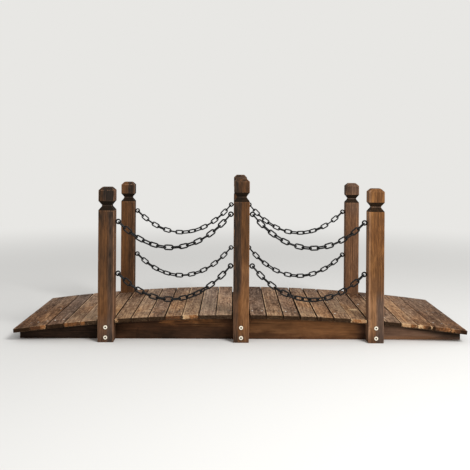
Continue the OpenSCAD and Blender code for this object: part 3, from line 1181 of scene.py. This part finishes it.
# Where the pith lies from the first beam's foot, how much lower each time, and how far up the
# trunk the next beam comes from, in metres.
BEAM_PITH = (0.03, -0.05)
PITH_STEP = 0.02
BEAMS_APART = 7.0
SCRAPE_PALE = 0.3
SCRAPE_PALER = 0.5

arch = corners_of("centre_beam")
arch = arch[arch[:, 2] > 0]
arch_x, highest = np.unique(arch[:, 0], return_index=True)
arch_z = arch[highest, 2]
for index, name in enumerate(beam_names):
    is_near = name == "front_beam"
    low, high = box_of(name)
    half = (high - low) / 2
    flat, quads = box_skin([grid_lines(side, spacing) for side, spacing in zip(half, BEAM_SPACINGS)])
    half_here = np.interp(flat[:, 0], arch_x, arch_z) / 2
    flat[:, 2] *= half_here / half[2]
    halves = np.c_[np.full((len(flat), 2), half[:2]), half_here]
    wear = near_arris(flat, halves, BEAM_WORN_REACH) * BEAM_WORN
    points = rounded(flat, halves, BEAM_RADIUS, BEAM_UNEVEN, per_metre=30, seed=5.1 * index)
    points[:, 2] += half_here
    flat[:, 2] += half_here
    depth = 2 * half_here - flat[:, 2]
    bare = scraped_bare(flat, depth, half) * is_near
    # Painted shade below the deck joins the soaked end grain in the end mask.
    more = np.interp(flat[:, 0] / MM, *MORE_SHADE_BELOW_DECK) * is_near
    end = np.maximum(end_grain(flat[:, 0], half[0]), shade_below_deck(depth, more))
    pith = np.array(BEAM_PITH) - (0, PITH_STEP * index)
    log = np.c_[flat[:, 1] - pith[0], flat[:, 2] - pith[1], flat[:, 0] + BEAMS_APART * index]
    tone, grey = banded(flat[:, 2], flat[:, 0], BEAM_STAIN_AND_SHADE_BANDS[name])
    fresh = SCRAPE_PALE + SCRAPE_PALER * lumpy(flat, per_metre=(14, 50, 150), seed=4.0)
    masks = {"log": log, "tone": tone, "grey": grey, "wear": wear, "end": end, "bare": bare, "fresh": fresh}
    world_points = points + np.array([0, (low[1] + high[1]) / 2, 0])
    beam = add_piece("worn_" + name, world_points, quads, beam_paint, masks)
    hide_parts(name)
print("one beam has", len(quads), "quads")

# %% [markdown]
# ## Posts
#
# A post is one square timber with a V groove sawn around it, which leaves a bevelled cap. The
# half width at each height is read off the plain solid's corners. One grid of lines around the
# post then follows it, with extra lines at the groove, and the vertical arrises are planed
# round. Stain runs down a post: each one has its own dark and light bands along the grain, and
# the near left post's right side is painted lighter where light falls on it.


# %% Outline of a post
# Which is which among the heights at which a post's outline turns; its foot has number 0.
GROOVE_FROM, NECK_FROM, NECK_TO, GROOVE_TO, BEVEL, TOP = range(1, 7)
ROUNDING = 0.01 * MM


def outline_of(name):
    """A post's axis, and its heights and half widths wherever its outline turns."""
    corners = corners_of(name)
    axis = axis_of(name)
    away = np.abs(corners[:, :2] - axis)
    on_arris = np.abs(away[:, 0] - away[:, 1]) < ROUNDING
    turns = np.unique(np.c_[corners[on_arris, 2], away[on_arris, 0]].round(5), axis=0)
    return axis, turns[:, 0], turns[:, 1]


for name in post_names[:2]:
    axis, heights, widths = outline_of(name)
    print(name, "turns at", (heights / MM).round(1), "half widths", (widths / MM).round(1))

# %% Post finish
post_look = {
    **deck_look,
    "dark": tint(44, 36, 29),
    "middle": tint(106, 71, 43),
    "light": tint(168, 118, 70),
    "late": tint(58, 40, 29),
    "knot": tint(48, 30, 20),
    "check": tint(34, 23, 18),
    "rubbed": tint(172, 130, 98),
    # Soaked end grain, and the dirt and painted shade in the groove.
    "end": tint(30, 24, 18),
    "ring_gap": 4.6 * MM,
    "streak_size": (130, 130, 1.8),
    "speck_size": (230, 230, 25),
    "patches": 0.7,
    "streaks": 0.5,
    "specks": 0.75,
    "fading": 0.4,
    "warmth": 0.3,
    "rings": 0.3,
    "fibres": 0.75,
    "knots": 0.15,
    "rubbing": 0.65,
    "end_soak_and_shade": 0.92,
}
post_paint = wood_paint("post_wood", post_look)

# %% Stain and painted light on the posts
# Bands across the near face and up the post, in mm from its axis and its foot.
# Darker at the foot of the near posts.
DARKER_FOOT = (-99, 99, -99, 30, -0.35, 0.1)
POST_STAIN_AND_LIGHT_BANDS = {
    "front_post_left": [
        (-99, 99, 0, 999, -0.25, 0.05),
        (9, 28, 110, 999, -0.35, 0.5),
        (6, 28, -99, 110, -0.25, 0.5),
        # Its right side, painted lighter where the light falls on it.
        (29, 99, 90, 999, 0.25, 0.3),
        (-99, 99, -99, 90, 0.0, 0.3),
        (-99, 18, 480, 535, -0.25, 0.1),
        (-99, 99, 420, 999, -0.15, 0.0),
        (-99, 29, 562, 999, -0.4, 0.0),
        (-14, 12, 562, 999, -0.4, 0.5),
        DARKER_FOOT,
    ],
    "front_post_middle": [
        (-99, -3, 190, 598, -0.9, 0.4),
        (-99, -12, -99, 190, -0.3, 0.3),
        (-3, 99, -99, 320, 0.2, 0.1),
        (-3, 99, 320, 999, -0.3, 0.0),
        (-99, -14, 598, 999, -0.4, 0.4),
        (-99, 99, 598, 999, -0.45, 0.1),
        DARKER_FOOT,
    ],
    "front_post_right": [
        (-99, 99, 0, 999, 0.05, 0.0),
        (-99, 99, 480, 999, 0.12, 0.0),
        (2, 99, -99, 190, -0.2, 0.65),
        DARKER_FOOT,
        (-99, -10, 500, 562, 0.4, 0.0),
        (-30, 2, 40, 180, 0.55, 0.1),
        (-99, 99, -99, 260, 0.0, 0.1),
        (-99, -24, 0, 999, 0.25, 0.3),
    ],
    "rear_post_left": [
        (-99, 99, 0, 999, -0.2, 0.0),
        (2, 99, 0, 999, -0.3, 0.1),
        (-99, 2, 560, 999, 0.1, 0.1),
        (2, 99, 560, 999, -0.4, 0.4),
    ],
    "rear_post_middle": [
        (-99, 99, 0, 999, -0.2, 0.0),
        (-99, 0, 0, 999, -0.3, 0.0),
        (-99, 99, 598, 999, -0.5, 0.5),
    ],
    "rear_post_right": [
        (-99, 99, 0, 999, 0.1, 0.3),
        (8, 99, -99, 400, -0.05, 0.05),
        (-99, -10, 562, 999, -0.8, 0.2),
        (-10, 99, 562, 999, -0.35, 0.3),
        (-99, 99, 470, 540, -0.3, 0.2),
    ],
}
print("bands on the near left post:", len(POST_STAIN_AND_LIGHT_BANDS["front_post_left"]))

# %% Skin of a post
GROOVE_STEPS = np.array([-2.5, -1.5, -0.5, 0.5, 1.5, 2.5]) * MM
POST_SPACING = 8 * MM
ACROSS_POST = 6 * MM
LEVEL_STEP = 0.5 * MM
# The outline's turns are softened: each half width is the mean of so many, from so much below a
# point to so much above it.
WORN_SAMPLES = 9
WORN_OUTLINE = 1.2 * MM


def post_skin(heights, widths):
    """Points around a post's middle, its quads, and the half width at each point."""
    half_z = heights[TOP] / 2
    thick = widths.max()
    unit = grid_lines(thick, ACROSS_POST) / thick
    fine = (heights[GROOVE_FROM:TOP, None] + GROOVE_STEPS).ravel()
    levels = np.concatenate([grid_lines(half_z, POST_SPACING) + half_z, fine])
    levels = np.unique((levels / LEVEL_STEP).round()) * LEVEL_STEP
    levels[-1] = heights[TOP]
    points, quads = box_skin([unit, unit, levels - half_z])
    around = points[:, [2]] + half_z + np.linspace(-WORN_OUTLINE, WORN_OUTLINE, WORN_SAMPLES)
    width = np.interp(around, heights, widths).mean(axis=1)
    points[:, :2] *= width[:, None]
    return points, quads, width


axis, heights, widths = outline_of(post_names[0])
print("points in a post's skin:", len(post_skin(heights, widths)[0]))

# %% Wear, dirt, dust and painted light on a post
# How far wear reaches from an arris and from a turn, how dark the top is, how far dirt and painted
# shade fade out at the edges of the groove, and how wide and thick the dust and painted highlight
# on the neck are.
POST_WORN_REACH = 2.4 * MM
TURN_WORN = 0.8
TURN_WORN_REACH = 1.6 * MM
TOP_SOAK = 0.5
GROOVE_DARK_EDGE = 2 * MM
GROOVE_DARK_OVER = 0.75
BELOW_GROOVE = 1.5 * GROOVE_DARK_EDGE
DUST_AND_HIGHLIGHT_WIDTH = 1.6 * MM
DUST_AND_HIGHLIGHT_COVER = 0.62


def dust_and_highlight_on(heights, above_foot):
    """A pale line on the neck, in the middle of the groove: dust, and a painted highlight."""
    neck = heights[NECK_FROM:NECK_TO + 1].mean()
    return np.exp(-(((above_foot - neck) / DUST_AND_HIGHLIGHT_WIDTH) ** 2))


def worn_post(flat, halves, heights, above_foot):
    """How worn a post is: on its arrises, just below the groove and at both ends of the cap."""
    turning = heights[[GROOVE_FROM, GROOVE_TO, BEVEL]] - np.array([BELOW_GROOVE, 0, 0])
    to_turn = np.abs(above_foot[:, None] - turning).min(axis=1)
    at_turns = TURN_WORN * np.exp(-to_turn / TURN_WORN_REACH)
    return np.maximum(near_arris(flat, halves, POST_WORN_REACH), at_turns)


def dirty_and_shaded_post(flat, half_z, heights, above_foot, dust_and_highlight):
    """How dark a post is on its soaked top and in the groove, with dirt and painted shade there, where dust
    and a painted highlight lighten the neck again.
    """
    into_groove = np.minimum(above_foot - heights[GROOVE_FROM], heights[GROOVE_TO] - above_foot)
    in_groove = np.clip(into_groove / GROOVE_DARK_EDGE + GROOVE_DARK_OVER, 0, 1)
    return np.maximum(TOP_SOAK * end_grain(flat[:, 2], half_z), in_groove) * (1 - DUST_AND_HIGHLIGHT_COVER * dust_and_highlight)


groove = heights[GROOVE_TO] - heights[GROOVE_FROM]
print("the groove holds dirt over", round(groove / MM, 1), "mm")

# %% Posts
POST_SEED = 40
POST_RADIUS = 2.4 * MM
POST_UNEVEN = 0.35
BAND_WANDER = 3 * MM
# How far the pith lies from a post's axis on both sides, in mm, and how far up the trunk the next
# post comes from, in metres.
POST_PITH = (12, 45)
POSTS_APART = 3.0

for index, name in enumerate(post_names):
    axis, heights, widths = outline_of(name)
    half_z = heights[TOP] / 2
    flat, quads, width = post_skin(heights, widths)
    halves = np.c_[width, width, np.full(len(flat), half_z)]
    above_foot = flat[:, 2] + half_z
    wear = worn_post(flat, halves, heights, above_foot)
    # Dust and a painted highlight on the neck; dirt and painted shade in the groove.
    dust_and_highlight = dust_and_highlight_on(heights, above_foot)
    end = dirty_and_shaded_post(flat, half_z, heights, above_foot, dust_and_highlight)
    points = rounded(flat, halves, POST_RADIUS, POST_UNEVEN, per_metre=30, seed=9.7 * index)
    world_points = points + np.array([*axis, half_z])
    flat[:, 2] += half_z
    chance = np.random.default_rng(POST_SEED + index)
    pith = chance.uniform(*POST_PITH, 2) * chance.choice([-1, 1], 2) * MM
    log = np.c_[flat[:, 0] - pith[0], flat[:, 1] - pith[1], flat[:, 2] + POSTS_APART * index]
    wander = lumpy(flat, per_metre=(9, 9, 7), seed=2.2 * index) * BAND_WANDER
    tone, grey = banded(flat[:, 0] + wander, flat[:, 2], POST_STAIN_AND_LIGHT_BANDS[name])
    grey = grey + dust_and_highlight
    none = np.zeros(len(points))
    masks = {"log": log, "tone": tone, "grey": grey, "wear": wear, "end": end, "bare": none, "fresh": none}
    post = add_piece("worn_" + name, world_points, quads, post_paint, masks)
    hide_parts(name)
print("one post has", len(quads), "quads")

# %% [markdown]
# ## Chains and screw eyes
#
# The links' shape is already right in the frame, so the chains keep their plain solids and get
# a better finish: black lacquer over drawn wire, a little rough, with spots where the links
# have rubbed each other and the lacquer has thinned.


# %% Black lacquer
LACQUER = tint(8, 8, 9)
THIN_LACQUER = tint(34, 28, 23)
LACQUER_SHEEN = 0.25
LACQUER_ROUGHNESS = 0.55
ORANGE_PEEL = (900, 900, 900)
THIN_SPOTS = (120, 120, 120)
THIN_LIMITS = (0.55, 0.75)
THIN_SHOWS = 0.5
THIN_ROUGHNESS = 0.2
PEEL_ROUGHNESS = 0.15


def black_lacquer():
    """Lacquered iron wire."""
    material, start = bare_material("black_lacquer")
    place = own_place(start)
    orange_peel = cloudy(place, ORANGE_PEEL, detail=2.0)
    thin = smooth(cloudy(place, THIN_SPOTS, detail=3.0), *THIN_LIMITS)
    rough = LACQUER_ROUGHNESS + thin * THIN_ROUGHNESS + (orange_peel - 0.5) * PEEL_ROUGHNESS
    sockets = {
        "Base Color": mixed(thin * THIN_SHOWS, LACQUER, THIN_LACQUER),
        "Roughness": rough,
        "Specular IOR Level": LACQUER_SHEEN,
        "Normal": bumps(orange_peel, strength=0.3, depth=0.3 * MM),
    }
    shaded(start, sockets)
    return material


iron_names = [name for name in nodes if name.endswith("_chain")] + ["screw_eyes"]
repaint(iron_names, black_lacquer())
print("lacquered:", len(iron_names), "nodes")

# %% [markdown]
# ## Post bolts
#
# The bolt heads keep their plain solids as well. Their sockets hold shade and dirt, so inside
# them the plating goes dark. The shader finds the sockets by the distance to the nearest bolt's
# axis: the bolts repeat at even steps along the bridge and up the posts, so the rest after
# rounding to whole steps is the way to the nearest one.

# %% Bolt finish
SOCKET_RADIUS = 3.3 * MM
SOCKET_EDGE = 1.15
SOCKET_SHADE_AND_DIRT = tint(16, 13, 10)
# How wide the painted shade on the bevelled rim of a bolt head is, and its colour below.
RIM_SHADE_WIDTH = 1.6 * MM
BOLT_PLATING = tint(252, 242, 222)
BOLT_RIM_SHADE = tint(110, 96, 78)

bolt_corners = corners_of("post_bolts")
right_bolts = bolt_corners[bolt_corners[:, 0] > bolt_corners[:, 0].max() / 2]
bolt_step_x = (right_bolts[:, 0].min() + right_bolts[:, 0].max()) / 2
bolt_radius = (right_bolts[:, 0].max() - right_bolts[:, 0].min()) / 2
bolt_low = bolt_corners[:, 2].min() + bolt_radius
bolt_step_z = bolt_corners[:, 2].max() - bolt_radius - bolt_low


def rest_of(value, step):
    """What is left of a value after it is rounded to whole steps."""
    steps = value / step
    return value - step * steps.node("ShaderNodeMath", {"operation": "ROUND"}, {0: steps})


def bolt_colour(start):
    """Pale plating with painted shade at its bevelled rim, dark inside the sockets with shade and dirt."""
    place = own_place(start)
    x = rest_of(share_along(place, (1, 0, 0)), bolt_step_x)
    z = rest_of(share_along(place, (0, 0, 1)) - bolt_low, bolt_step_z)
    off_axis = (x * x + z * z) ** 0.5
    # Painted shade on the bevelled rim.
    rim = smooth(off_axis, bolt_radius - RIM_SHADE_WIDTH, bolt_radius)
    plating = mixed(rim, BOLT_PLATING, BOLT_RIM_SHADE)
    # Shade and dirt painted inside the socket.
    outside = smooth(off_axis, SOCKET_RADIUS, SOCKET_RADIUS * SOCKET_EDGE)
    return mixed(outside, SOCKET_SHADE_AND_DIRT, plating)


repaint(["post_bolts"], plated_steel("bolt_steel", bolt_colour, roughness=0.38))
print("bolts every", round(bolt_step_x, 4), "along and", round(bolt_step_z, 4), "up")
